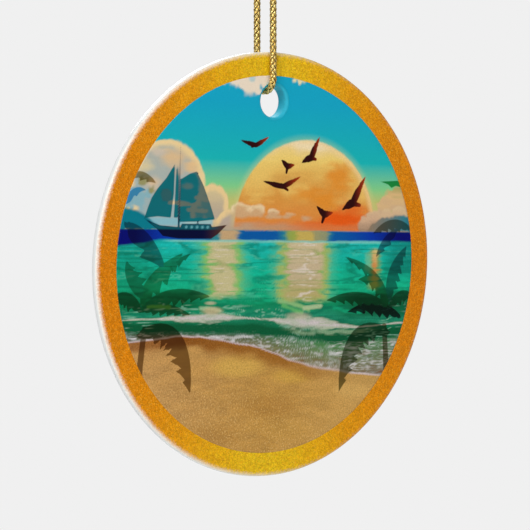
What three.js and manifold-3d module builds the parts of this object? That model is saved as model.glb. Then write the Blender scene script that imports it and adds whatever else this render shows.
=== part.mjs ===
// A flat round porcelain ornament, printed on both faces, on a loop of gold cord.
// Units are millimetres and +Z is up. The disc's faces look along -Y (front) and +Y (back).
// The origin is where a hook bears inside the top of the cord's loop.
import * as THREE from 'three';
import { mergeVertices } from 'three/addons/utils/BufferGeometryUtils.js';
import Module from 'manifold-3d';

const wasm = await Module();
wasm.setup();

// ---- Driving dimensions -------------------------------------------------------------------

const DISC_RADIUS = 36.8;
const DISC_THICKNESS = 2.6;
const FRONT_EDGE_ROUND = 0.5; // radius of the front face's glazed edge
const BACK_BEVEL = 1.5; // the back edge is bevelled by this much each way
const HOLE_RADIUS = 2.8;
const HOLE_EDGE_ROUND = 0.5; // the hole's edges are rounded where the cord bears
const HOLE_OFFSET = 28.3; // from the disc's centre to the hole's centre
const HANG_TILT_DEG = 1.94; // the disc hangs this much clockwise, seen from the front

const PRINT_THICKNESS = 0.08;
const PICTURE_RADIUS = 32.7;
const BORDER_GAP = 0.05; // between the picture's edge and the border's inner edge

const CORD_DIAMETER = 1.1;
const STRAND_SPACING = 4.47; // between the centre lines of the two strands
const LOOP_HEIGHT = 60; // from the hook down to the cord in the hole
const CORD_SPLIT = 34; // the strands' upper and lower stretches meet this far below the hook
const CORD_DROP = 1.12; // the cord's centre line lies this far below the wall of the hole
const TOUCH_GAP = 0.3; // between stretches of cord that meet end to end

const KNOT_HEIGHT = 4.6;
const KNOT_RADIUS = 2.1;
const KNOT_BOTTOM = 2.9; // the knot's underside, above the hook
const TAIL_LENGTH = 6;
const TAIL_SPREAD = 1.9; // each tail's tip stands this far from the middle

const ROUND_SEGMENTS = 96; // around the disc and its prints
const HOLE_SEGMENTS = 40;
const CORD_SIDES = 8;

// ---- Values that follow from them ---------------------------------------------------------

const tilt = THREE.MathUtils.degToRad(HANG_TILT_DEG);
const frontY = -DISC_THICKNESS / 2;
const backY = DISC_THICKNESS / 2;
const strandY = STRAND_SPACING / 2;
const holeX = HOLE_OFFSET * Math.sin(tilt);
// The cord lies straight above the disc's centre, so it bears a little left of the hole's top.
const wallAboveHole = Math.sqrt(HOLE_RADIUS ** 2 - holeX ** 2);
const holeZ = -LOOP_HEIGHT + CORD_DROP - wallAboveHole;
const discZ = holeZ - HOLE_OFFSET * Math.cos(tilt);

// ---- Finishes -----------------------------------------------------------------------------

const finish = (color, roughness, metalness = 0) =>
  new THREE.MeshStandardMaterial({ color, roughness, metalness });

const porcelain = () => finish(0xf3f2ee, 0.15);
const pictureInk = () => finish(0x1f9a96, 0.2);
const borderInk = () => finish(0xdc9a1e, 0.3);
const goldCord = () => finish(0xb8923a, 0.4, 0.8);

// ---- Small helpers ------------------------------------------------------------------------

/** Points of a quarter round from one angle to another, in degrees, about a centre. */
function roundedCorner(centreX, centreY, radius, fromDeg, toDeg, steps = 4) {
  const points = [];
  for (let i = 0; i <= steps; i++) {
    const angle = THREE.MathUtils.degToRad(fromDeg + ((toDeg - fromDeg) * i) / steps);
    points.push(
      new THREE.Vector2(centreX + radius * Math.cos(angle), centreY + radius * Math.sin(angle)),
    );
  }
  return points;
}

/** A closed geometry as a solid that can be joined and cut. */
function toSolid(geometry) {
  const bare = geometry.clone();
  bare.deleteAttribute('normal');
  bare.deleteAttribute('uv');
  const merged = mergeVertices(bare, 1e-5);
  return new wasm.Manifold(
    new wasm.Mesh({
      numProp: 3,
      vertProperties: new Float32Array(merged.attributes.position.array),
      triVerts: new Uint32Array(merged.index.array),
    }),
  );
}

/** A solid's surface as a geometry for a mesh. */
function toGeometry(solid) {
  const surface = solid.getMesh();
  const geometry = new THREE.BufferGeometry();
  geometry.setAttribute('position', new THREE.BufferAttribute(surface.vertProperties, 3));
  geometry.setIndex(new THREE.BufferAttribute(surface.triVerts, 1));
  geometry.computeVertexNormals();
  return geometry;
}

function named(name, geometry, material) {
  const mesh = new THREE.Mesh(geometry, material);
  mesh.name = name;
  return mesh;
}

/** A round tube of cord along a curve. */
function cordTube(curve, steps) {
  const section = new THREE.Shape();
  for (let i = 0; i < CORD_SIDES; i++) {
    const angle = (2 * Math.PI * i) / CORD_SIDES;
    const x = (CORD_DIAMETER / 2) * Math.cos(angle);
    const y = (CORD_DIAMETER / 2) * Math.sin(angle);
    if (i === 0) section.moveTo(x, y);
    else section.lineTo(x, y);
  }
  section.closePath();
  return new THREE.ExtrudeGeometry(section, { steps, extrudePath: curve, bevelEnabled: false });
}

const smoothCurve = (points) =>
  new THREE.CatmullRomCurve3(points.map(([x, y, z]) => new THREE.Vector3(x, y, z)));

// ---- The porcelain disc -------------------------------------------------------------------

/** The cutter of the hole: a round pin that flares at both faces, about the disc's own Y axis. */
function holeCutter() {
  const flare = HOLE_RADIUS + HOLE_EDGE_ROUND;
  const inward = backY - HOLE_EDGE_ROUND;
  const profile = [
    new THREE.Vector2(0, frontY - 1),
    new THREE.Vector2(flare, frontY - 1),
    ...roundedCorner(flare, -inward, HOLE_EDGE_ROUND, 270, 180),
    ...roundedCorner(flare, inward, HOLE_EDGE_ROUND, 180, 90),
    new THREE.Vector2(flare, backY + 1),
    new THREE.Vector2(0, backY + 1),
  ];
  const cutter = new THREE.LatheGeometry(profile, HOLE_SEGMENTS);
  cutter.translate(0, 0, HOLE_OFFSET);
  return toSolid(cutter);
}

function porcelainDisc() {
  const profile = [
    new THREE.Vector2(0, frontY),
    ...roundedCorner(
      DISC_RADIUS - FRONT_EDGE_ROUND, frontY + FRONT_EDGE_ROUND, FRONT_EDGE_ROUND, 270, 360,
    ),
    new THREE.Vector2(DISC_RADIUS, backY - BACK_BEVEL),
    new THREE.Vector2(DISC_RADIUS - BACK_BEVEL, backY),
    new THREE.Vector2(0, backY),
  ];
  const blank = toSolid(new THREE.LatheGeometry(profile, ROUND_SEGMENTS));
  return named('porcelain_disc', toGeometry(blank.subtract(holeCutter())), porcelain());
}

// ---- The printed coats --------------------------------------------------------------------

/** The picture's coat on one face: a thin round layer with the hole left out. */
function picturePrint(name, lowY, highY) {
  const layer = new THREE.LatheGeometry(
    [
      new THREE.Vector2(0, lowY),
      new THREE.Vector2(PICTURE_RADIUS, lowY),
      new THREE.Vector2(PICTURE_RADIUS, highY),
      new THREE.Vector2(0, highY),
    ],
    ROUND_SEGMENTS,
  );
  const clearance = new THREE.CylinderGeometry(
    HOLE_RADIUS + HOLE_EDGE_ROUND,
    HOLE_RADIUS + HOLE_EDGE_ROUND,
    2 * DISC_THICKNESS,
    HOLE_SEGMENTS,
  );
  clearance.translate(0, 0, HOLE_OFFSET);
  return named(name, toGeometry(toSolid(layer).subtract(toSolid(clearance))), pictureInk());
}

/** The gold border's coat on one face: a thin flat ring out to the end of the flat face. */
function borderPrint(name, lowY, highY, outerRadius) {
  const innerRadius = PICTURE_RADIUS + BORDER_GAP;
  const ring = new THREE.LatheGeometry(
    [
      new THREE.Vector2(innerRadius, lowY),
      new THREE.Vector2(outerRadius, lowY),
      new THREE.Vector2(outerRadius, highY),
      new THREE.Vector2(innerRadius, highY),
      new THREE.Vector2(innerRadius, lowY),
    ],
    ROUND_SEGMENTS,
  );
  return named(name, ring, borderInk());
}

// ---- The cord -----------------------------------------------------------------------------

/** One strand from the split up to the knot. side is -1 for the front strand and 1 for the rear. */
function upperStrand(name, side) {
  const route = [
    [0, strandY, -CORD_SPLIT],
    [0, strandY, -26],
    [0, strandY, -18],
    [0, strandY, -11],
    [0, strandY, -6],
    [0, 2.12, -3],
    [0, 1.9, -1.4],
    [0, 1.55, 0],
    [0, 1.12, 1.1],
    [0, 0.72, 2],
  ];
  const curve = smoothCurve(route.map(([x, y, z]) => [x, side * y, z]));
  return named(name, cordTube(curve, 13), goldCord());
}

/** The lower loop: down in front of the disc, back through the hole, and up behind it. */
function lowerLoop() {
  const bendZ = -LOOP_HEIGHT + strandY;
  const topZ = -CORD_SPLIT - TOUCH_GAP;
  const frontStrand = [topZ, -40, -45, -50, -54, -56.5].map((z) => [0, -strandY, z]);
  const bend = roundedCorner(0, bendZ, strandY, 180, 360, 8).map(({ x, y }) => [0, x, y]);
  const rearStrand = frontStrand.map(([x, y, z]) => [x, -y, z]).reverse();
  const curve = smoothCurve([...frontStrand, ...bend, ...rearStrand]);
  return named('cord_lower_loop', cordTube(curve, 54), goldCord());
}

/** The overhand knot that ties both strands together, as its outer shape. */
function cordKnot() {
  const middle = KNOT_BOTTOM + KNOT_HEIGHT / 2;
  const profile = roundedCorner(0, 0, 1, -90, 90, 10).map(
    ({ x, y }) => new THREE.Vector2(KNOT_RADIUS * x, (KNOT_HEIGHT / 2) * y),
  );
  profile[0].x = 0;
  profile[profile.length - 1].x = 0;
  const body = new THREE.LatheGeometry(profile, 20);
  body.rotateX(Math.PI / 2);
  body.translate(0, 0, middle);
  return named('cord_knot', body, goldCord());
}

/** One cut end of the cord, standing out of the top of the knot. */
function cordTail(name, side) {
  const base = KNOT_BOTTOM + KNOT_HEIGHT + TOUCH_GAP;
  const curve = smoothCurve([
    [0, side * 0.7, base],
    [side * 0.25, side * 1.05, base + TAIL_LENGTH / 3],
    [side * 0.6, side * 1.5, base + (2 * TAIL_LENGTH) / 3],
    [side * 1, side * TAIL_SPREAD, base + TAIL_LENGTH],
  ]);
  return named(name, cordTube(curve, 3), goldCord());
}

// ---- Assembly -----------------------------------------------------------------------------

const ornament = new THREE.Group();

const disc = new THREE.Group();
disc.rotation.y = tilt;
disc.position.z = discZ;
disc.add(
  porcelainDisc(),
  picturePrint('front_picture_print', frontY - PRINT_THICKNESS, frontY),
  borderPrint(
    'front_border_print', frontY - PRINT_THICKNESS, frontY, DISC_RADIUS - FRONT_EDGE_ROUND,
  ),
  picturePrint('back_picture_print', backY, backY + PRINT_THICKNESS),
  borderPrint('back_border_print', backY, backY + PRINT_THICKNESS, DISC_RADIUS - BACK_BEVEL),
);
ornament.add(disc);

ornament.add(
  lowerLoop(),
  upperStrand('cord_front_strand', -1),
  upperStrand('cord_rear_strand', 1),
  cordKnot(),
  cordTail('cord_front_tail', -1),
  cordTail('cord_rear_tail', 1),
);

export default ornament;
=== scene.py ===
"""Souvenir christmas ornament: a printed porcelain disc on a knotted loop of gold cord.

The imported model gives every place. Shapes are worked out in millimetres as numpy grids and put into the
meshes in metres. On the disc, print axes are used: x to the right and z up as that face is seen, from the
disc's centre.
"""
import logging
import math
from dataclasses import dataclass
from enum import Enum
from typing import Iterable, Sequence

import bpy
import numpy as np
from mathutils import Matrix, Vector


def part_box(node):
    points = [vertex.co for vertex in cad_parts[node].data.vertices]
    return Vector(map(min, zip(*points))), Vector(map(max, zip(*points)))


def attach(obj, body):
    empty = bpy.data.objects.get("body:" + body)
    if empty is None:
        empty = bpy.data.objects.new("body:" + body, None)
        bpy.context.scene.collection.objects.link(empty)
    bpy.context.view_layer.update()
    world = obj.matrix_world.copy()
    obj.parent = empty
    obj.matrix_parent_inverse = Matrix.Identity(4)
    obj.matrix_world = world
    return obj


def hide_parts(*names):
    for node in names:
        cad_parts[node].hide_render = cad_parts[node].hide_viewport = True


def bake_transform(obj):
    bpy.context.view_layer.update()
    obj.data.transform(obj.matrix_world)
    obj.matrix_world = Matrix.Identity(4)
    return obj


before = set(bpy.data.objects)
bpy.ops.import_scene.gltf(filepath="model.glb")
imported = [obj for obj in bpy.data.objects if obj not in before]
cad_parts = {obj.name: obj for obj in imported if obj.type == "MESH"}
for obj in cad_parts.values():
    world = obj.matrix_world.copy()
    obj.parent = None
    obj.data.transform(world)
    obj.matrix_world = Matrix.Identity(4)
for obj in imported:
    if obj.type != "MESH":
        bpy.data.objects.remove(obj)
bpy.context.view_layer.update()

MM = 0.001
TAU = 2.0 * math.pi
REPORT = logging.getLogger("ornament")


# ---------------------------------------------------------------- colour, numbers and meshes

def linear(code: str) -> np.ndarray:
    """An sRGB hex colour as linear red, green and blue.

    Args:
        code: the colour, such as "#C8B080".

    Returns:
        Three numbers from 0 to 1.
    """
    value = np.array([int(code[i:i + 2], 16) for i in (1, 3, 5)]) / 255.0
    return np.where(value <= 0.04045, value / 12.92, ((value + 0.055) / 1.055) ** 2.4)


def rgba(code: str) -> tuple[float, ...]:
    """A hex colour as the four numbers a socket takes."""
    return (*linear(code).tolist(), 1.0)


def fade(value: np.ndarray, low: float, high: float) -> np.ndarray:
    """Smooth step: 0 at low, 1 at high, with no slope at either end."""
    t = np.clip((value - low) / (high - low), 0.0, 1.0)
    return t * t * (3.0 - 2.0 * t)


def ramp(value: np.ndarray, stops: Sequence[float], codes: str) -> np.ndarray:
    """Colours along a scale.

    Args:
        value: where each point is on the scale.
        stops: rising places on it.
        codes: one hex colour per stop, with spaces between.

    Returns:
        One linear colour per point, straight lines between the stops.
    """
    table = np.array([linear(code) for code in codes.split()])
    return np.stack([np.interp(value, stops, table[:, i]) for i in range(3)], -1)


def mottle(x: np.ndarray, z: np.ndarray, length: float, height: float, seed: int) -> np.ndarray:
    """Soft random patches: a seeded 64 by 64 lattice of values, smoothly joined.

    Args:
        x: places across, mm.
        z: places up, mm.
        length: a patch's size across, mm.
        height: its size up, mm.
        seed: which pattern.

    Returns:
        A value from 0 to 1 for each point.
    """
    lattice = np.random.default_rng(seed).random((64, 64))
    u, v = x / length, z / height
    i, j = np.floor(u).astype(int), np.floor(v).astype(int)
    a, b = fade(u - i, 0, 1), fade(v - j, 0, 1)
    low = lattice[i % 64, j % 64] * (1 - a) + lattice[(i + 1) % 64, j % 64] * a
    high = lattice[i % 64, (j + 1) % 64] * (1 - a) + lattice[(i + 1) % 64, (j + 1) % 64] * a
    return low * (1 - b) + high * b


def grid_faces(rows: int, columns: int, close_rows: bool = False, close_columns: bool = False) -> np.ndarray:
    """Four-sided faces of a grid of points.

    Args:
        rows: number of rows.
        columns: number of points in a row.
        close_rows: joins the last row to the first.
        close_columns: joins each row's last point to its first.

    Returns:
        One row of four point numbers per face.
    """
    index = np.arange(rows * columns).reshape(rows, columns)
    index = np.vstack([index, index[:1]]) if close_rows else index
    index = np.hstack([index, index[:, :1]]) if close_columns else index
    return np.stack([index[:-1, :-1], index[1:, :-1], index[1:, 1:], index[:-1, 1:]], -1).reshape(-1, 4)


def enclosed(points: np.ndarray, faces: np.ndarray) -> float:
    """Volume inside a closed grid: the sum of the tetrahedra from the origin to each face."""
    a, b, c, d = (points[faces[:, i]] for i in range(4))
    return float(((np.cross(a, b) * c).sum() + (np.cross(a, c) * d).sum()) / 6.0)


def facing(points: np.ndarray, face: np.ndarray) -> np.ndarray:
    """Way that a four-sided face looks: the cross product of the edges to its second and fourth points."""
    return np.cross(points[face[1]] - points[face[0]], points[face[3]] - points[face[0]])


def make_piece(name: str, points: np.ndarray, faces: Iterable[Sequence[int]],
               attributes: dict[str, np.ndarray] | None = None, *, material: bpy.types.Material,
               slot: str | None = None) -> bpy.types.Object:
    """Put a surface into a mesh object at the origin.

    Args:
        name: the piece's name.
        points: one row of three millimetres per point.
        faces: point numbers of each face, which face outwards.
        attributes: values for each point, one or three numbers wide; three are a colour.
        material: its finish.
        slot: a material slot's name, or None for what isn't part of the ornament; it is not used.

    Returns:
        The object.
    """
    mesh = bpy.data.meshes.new(name)
    mesh.from_pydata((points * MM).tolist(), [],
                     faces.tolist() if isinstance(faces, np.ndarray) else list(faces))
    mesh.polygons.foreach_set("use_smooth", np.ones(len(mesh.polygons), bool))
    for key, value in (attributes or {}).items():
        if value.ndim == 1:
            mesh.attributes.new(key, "FLOAT", "POINT").data.foreach_set("value", value.astype(np.float32))
        else:
            colour = np.hstack([value, np.ones((len(value), 1))]).astype(np.float32)
            mesh.attributes.new(key, "FLOAT_COLOR", "POINT").data.foreach_set("color", colour.ravel())
    mesh.materials.append(material)
    mesh.validate()
    piece = bpy.data.objects.new(name, mesh)
    bpy.context.scene.collection.objects.link(piece)
    REPORT.info("%s: %d triangles", name, sum(len(p.vertices) - 2 for p in mesh.polygons))
    return piece


def add_node(tree: bpy.types.NodeTree, kind: str, links: dict | None = None, **settings) -> bpy.types.Node:
    """Add a node with its settings and inputs.

    Args:
        tree: the node tree it goes into.
        kind: the node's type name.
        links: for each input's name or number, a value or the socket that feeds it.
        settings: the node's own properties.

    Returns:
        The node.
    """
    node = tree.nodes.new(kind)
    for key, value in settings.items():
        setattr(node, key, value)
    for key, value in (links or {}).items():
        if isinstance(value, bpy.types.NodeSocket):
            tree.links.new(value, node.inputs[key])
        else:
            node.inputs[key].default_value = value
    return node


def new_material(name: str) -> tuple[bpy.types.Material, bpy.types.NodeTree]:
    """Start an empty node material.

    Args:
        name: the finish's name.

    Returns:
        The material and its node tree.
    """
    material = bpy.data.materials.new(name)
    material.use_nodes = True
    material.node_tree.nodes.clear()
    return material, material.node_tree


def per_size(millimetres: float) -> float:
    """The pattern scale, in turns per metre, of a pattern with features of this size."""
    return 1.0 / (millimetres * MM)


# ---------------------------------------------------------------- finishes

@dataclass(frozen=True)
class GlazedPorcelain:
    """White porcelain pressed and fired under a clear glaze: hard bright gloss on a faintly uneven body."""

    body: str = "#E6E8E7"
    shade: str = "#DDDFDD"
    waviness: float = 2.5     # mm between the glaze's shallow humps
    roughness: float = 0.12
    ior: float = 1.52

    def material(self) -> bpy.types.Material:
        """Build the material: two whites in wide soft patches, and the glaze's orange-peel bump.

        Returns:
            The material.
        """
        material, tree = new_material("glazed_porcelain")
        place = add_node(tree, "ShaderNodeTexCoord").outputs["Object"]
        cloud = add_node(tree, "ShaderNodeTexNoise", {"Vector": place, "Scale": per_size(9.0), "Detail": 3.0})
        tone = add_node(tree, "ShaderNodeMix",
                        {0: cloud.outputs["Fac"], 6: rgba(self.shade), 7: rgba(self.body)},
                        data_type="RGBA")
        peel = add_node(tree, "ShaderNodeTexNoise",
                        {"Vector": place, "Scale": per_size(self.waviness), "Detail": 1.0})
        bump = add_node(tree, "ShaderNodeBump",
                        {"Height": peel.outputs["Fac"], "Strength": 0.12, "Distance": 0.03 * MM})
        gloss = add_node(tree, "ShaderNodeMapRange",
                         {"Value": cloud.outputs["Fac"], "To Min": self.roughness - 0.03,
                                                      "To Max": self.roughness + 0.05})
        shader = add_node(tree, "ShaderNodeBsdfPrincipled", {
            "Base Color": tone.outputs[2], "Roughness": gloss.outputs["Result"], "IOR": self.ior,
            "Normal": bump.outputs["Normal"]})
        add_node(tree, "ShaderNodeOutputMaterial", {"Surface": shader.outputs[0]})
        return material


@dataclass(frozen=True)
class PicturePrint:
    """Heat-transferred ink sunk in a clear gloss coat: full colour, a fine grain and a thin even shine."""

    grain: float = 0.28       # mm, the ink's speckle; the real dots are too fine to show
    spark: float = 0.24       # mm, printed sparkles in the sand
    edge: float = 0.09        # mm, softness of a printed silhouette's outline
    roughness: float = 0.22
    specular: float = 0.16
    sparkle: str = "#F0CF86"

    def material(self) -> bpy.types.Material:
        """Build the material: the painted colour with ink grain, and silhouettes by their signed distance.

        Returns:
            The material.
        """
        material, tree = new_material("transfer_print_under_gloss")
        place = add_node(tree, "ShaderNodeTexCoord").outputs["Object"]
        paint, ink, edge, coarse, glint = (
            add_node(tree, "ShaderNodeAttribute", attribute_name=name) for name in
            ("paint", "ink", "edge", "grain", "glint"))
        inked = add_node(tree, "ShaderNodeMapRange", {"Value": edge.outputs["Fac"], "From Min": -self.edge,
                                                      "From Max": self.edge}, interpolation_type="SMOOTHSTEP")
        speck = add_node(tree, "ShaderNodeTexNoise",
                         {"Vector": place, "Scale": per_size(self.grain), "Detail": 2.0,
                                                      "Roughness": 0.6})
        swing = add_node(tree, "ShaderNodeMapRange",
                         {"Value": speck.outputs["Fac"], "From Min": 0.3, "From Max": 0.7,
                                                      "To Min": -1.0, "To Max": 1.0})
        amount = add_node(tree, "ShaderNodeMath", {0: swing.outputs["Result"], 1: coarse.outputs["Fac"]},
                          operation="MULTIPLY")
        factor = add_node(tree, "ShaderNodeMath", {0: amount.outputs[0], 1: 1.0}, operation="ADD")
        grained = add_node(tree, "ShaderNodeVectorMath",
                           {0: paint.outputs["Color"], "Scale": factor.outputs[0]},
                           operation="SCALE")
        flake = add_node(tree, "ShaderNodeTexNoise",
                         {"Vector": place, "Scale": per_size(self.spark), "Detail": 0.0})
        lit = add_node(tree, "ShaderNodeMapRange",
                       {"Value": flake.outputs["Fac"], "From Min": 0.6, "From Max": 0.74})
        shining = add_node(tree, "ShaderNodeMath", {0: lit.outputs["Result"], 1: glint.outputs["Fac"]},
                           operation="MULTIPLY")
        sparkled = add_node(tree, "ShaderNodeMix", {0: shining.outputs[0], 6: grained.outputs[0],
                                                    7: rgba(self.sparkle)}, data_type="RGBA")
        colour = add_node(tree, "ShaderNodeMix", {0: inked.outputs["Result"], 6: sparkled.outputs[2],
                                                  7: ink.outputs["Color"]}, data_type="RGBA")
        level = add_node(tree, "ShaderNodeTexNoise", {"Vector": place, "Scale": per_size(3.0), "Detail": 1.0})
        bump = add_node(tree, "ShaderNodeBump",
                        {"Height": level.outputs["Fac"], "Strength": 0.1, "Distance": 0.02 * MM})
        shader = add_node(tree, "ShaderNodeBsdfPrincipled", {
            "Base Color": colour.outputs[2], "Roughness": self.roughness, "Specular IOR Level": self.specular,
            "Normal": bump.outputs["Normal"]})
        add_node(tree, "ShaderNodeOutputMaterial", {"Surface": shader.outputs[0]})
        return material


@dataclass(frozen=True)
class GlitterPrint:
    """The border's printed glitter: orange, gold and brown flecks under the same gloss, thinning to white."""

    fleck: float = 0.18       # mm across one fleck
    clump: float = 0.6        # mm between lighter and darker clumps
    roughness: float = 0.22
    specular: float = 0.25
    orange_ink: str = "#BE6A06"
    gilt_ink: str = "#F2CB4E"
    glaze: str = "#E6E4DC"    # the blank, seen where the print thins out

    def material(self) -> bpy.types.Material:
        """Build the material: each fleck's own tone over the painted ring, and a ragged fade at its edge.

        Returns:
            The material.
        """
        material, tree = new_material("glitter_print_under_gloss")
        place = add_node(tree, "ShaderNodeTexCoord").outputs["Object"]
        paint, bare = (add_node(tree, "ShaderNodeAttribute", attribute_name=name)
                       for name in ("paint", "bare"))
        cells = add_node(tree, "ShaderNodeTexVoronoi", {"Vector": place, "Scale": per_size(self.fleck),
                                                        "Randomness": 1.0})
        pick = add_node(tree, "ShaderNodeSeparateColor", {0: cells.outputs["Color"]})
        clumps = add_node(tree, "ShaderNodeTexNoise",
                          {"Vector": place, "Scale": per_size(self.clump), "Detail": 2.0})
        mixed = add_node(tree, "ShaderNodeMath", {0: pick.outputs[0], 1: clumps.outputs["Fac"]},
                         operation="ADD")
        orange = add_node(tree, "ShaderNodeMath", {0: pick.outputs[2], 1: 0.5}, operation="MULTIPLY")
        warm = add_node(tree, "ShaderNodeMix",
                        {0: orange.outputs[0], 6: paint.outputs["Color"], 7: rgba(self.orange_ink)},
                        data_type="RGBA")
        tone = add_node(tree, "ShaderNodeMapRange",
                        {"Value": mixed.outputs[0], "From Min": 0.35, "From Max": 1.65,
                                                     "To Min": 0.72, "To Max": 1.3})
        flecked = add_node(tree, "ShaderNodeVectorMath",
                           {0: warm.outputs[2], "Scale": tone.outputs["Result"]},
                           operation="SCALE")
        bright = add_node(tree, "ShaderNodeMapRange",
                          {"Value": pick.outputs[1], "From Min": 0.86, "From Max": 0.94})
        half = add_node(tree, "ShaderNodeMath", {0: bright.outputs["Result"], 1: 0.25}, operation="MULTIPLY")
        gilt = add_node(tree, "ShaderNodeMix",
                        {0: half.outputs[0], 6: flecked.outputs[0], 7: rgba(self.gilt_ink)},
                        data_type="RGBA")
        ragged = add_node(tree, "ShaderNodeMath", {0: pick.outputs[2], 1: 0.3}, operation="MULTIPLY")
        thin = add_node(tree, "ShaderNodeMath", {0: bare.outputs["Fac"], 1: ragged.outputs[0]},
                        operation="ADD")
        white = add_node(tree, "ShaderNodeMapRange",
                         {"Value": thin.outputs[0], "From Min": 0.3, "From Max": 1.15})
        colour = add_node(tree, "ShaderNodeMix", {0: white.outputs["Result"], 6: gilt.outputs[2],
                                                  7: rgba(self.glaze)}, data_type="RGBA")
        shader = add_node(tree, "ShaderNodeBsdfPrincipled", {
            "Base Color": colour.outputs[2], "Roughness": self.roughness,
            "Specular IOR Level": self.specular})
        add_node(tree, "ShaderNodeOutputMaterial", {"Surface": shader.outputs[0]})
        return material


@dataclass(frozen=True)
class MetallicYarn:
    """Metallic yarn, gilt film slit, plied and braided: bright streaked metal with painted pale glints, and
    painted shade in dark olive deep in the braid between the yarns.
    """

    film: str = "#CC9830"
    # painted glint: this pale colour is mixed in along the streaks
    pale: str = "#FFEFA0"
    # painted shade: this dark olive is where a yarn lies deep in the braid, between and under the others
    gap: str = "#33230A"
    glints: float = 1.875     # per mm along a yarn; the real film's are finer and are drawn as fine as shows
    roughness: float = 0.27

    def material(self) -> bpy.types.Material:
        """Build the material: painted shade by depth in the braid, painted glints in streaks round each yarn,
        and a filament bump.

        Returns:
            The material.
        """
        material, tree = new_material("braided_metallic_yarn")
        lay = add_node(tree, "ShaderNodeAttribute", attribute_name="lay").outputs["Color"]
        depth = add_node(tree, "ShaderNodeAttribute", attribute_name="depth").outputs["Fac"]
        spread = add_node(tree, "ShaderNodeMapping", {"Vector": lay, "Scale": (1.6, 1.6, 1.0)})
        streak = add_node(tree, "ShaderNodeTexNoise", {"Vector": spread.outputs[0], "Scale": self.glints,
                                                       "Detail": 2.0, "Roughness": 0.65})
        # painted glints: pale colour where the streaks are strong
        glint = add_node(tree, "ShaderNodeMapRange",
                         {"Value": streak.outputs["Fac"], "From Min": 0.4, "From Max": 0.62})
        tone = add_node(tree, "ShaderNodeMix",
                        {0: glint.outputs["Result"], 6: rgba(self.film), 7: rgba(self.pale)},
                        data_type="RGBA")
        # painted shade: yarn deep in the braid, and the core, take the dark gap colour
        unshaded = add_node(tree, "ShaderNodeMapRange", {"Value": depth, "From Min": 0.70, "From Max": 0.93},
                         interpolation_type="SMOOTHSTEP")
        colour = add_node(tree, "ShaderNodeMix",
                          {0: unshaded.outputs["Result"], 6: rgba(self.gap), 7: tone.outputs[2]},
                          data_type="RGBA")
        rough = add_node(tree, "ShaderNodeMapRange",
                         {"Value": streak.outputs["Fac"], "To Min": self.roughness - 0.1,
                                                      "To Max": self.roughness + 0.16})
        bump = add_node(tree, "ShaderNodeBump", {"Height": streak.outputs["Fac"], "Strength": 0.9,
                                                 "Distance": 0.08 * MM})
        shader = add_node(tree, "ShaderNodeBsdfPrincipled", {
            "Base Color": colour.outputs[2], "Metallic": 0.9, "Roughness": rough.outputs["Result"],
            "Normal": bump.outputs["Normal"]})
        add_node(tree, "ShaderNodeOutputMaterial", {"Surface": shader.outputs[0]})
        return material


@dataclass(frozen=True)
class StudioPaper:
    """Matt pale paper for the floor: no shine, a trace of fibre."""

    tone: str = "#F0F0F0"
    fibre: str = "#EDEDED"
    lift: float = 0.42        # brightness added where it is looked at, but not to the light it throws back

    def material(self) -> bpy.types.Material:
        """Build the material: a pale grey with faint fibre, lifted to the backdrop's brightness.

        Returns:
            The material.
        """
        material, tree = new_material("matt_paper")
        place = add_node(tree, "ShaderNodeTexCoord").outputs["Object"]
        fibre = add_node(tree, "ShaderNodeTexNoise", {"Vector": place, "Scale": per_size(1.5), "Detail": 2.0})
        tone = add_node(tree, "ShaderNodeMix",
                        {0: fibre.outputs["Fac"], 6: rgba(self.fibre), 7: rgba(self.tone)},
                        data_type="RGBA")
        path = add_node(tree, "ShaderNodeLightPath")
        seen = add_node(tree, "ShaderNodeMath", {0: path.outputs["Is Camera Ray"], 1: self.lift},
                        operation="MULTIPLY")
        shader = add_node(tree, "ShaderNodeBsdfPrincipled", {
            "Base Color": tone.outputs[2], "Roughness": 0.9, "Emission Color": (1.0, 1.0, 1.0, 1.0),
            "Emission Strength": seen.outputs[0]})
        add_node(tree, "ShaderNodeOutputMaterial", {"Surface": shader.outputs[0]})
        return material


# ---------------------------------------------------------------- studio

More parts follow.
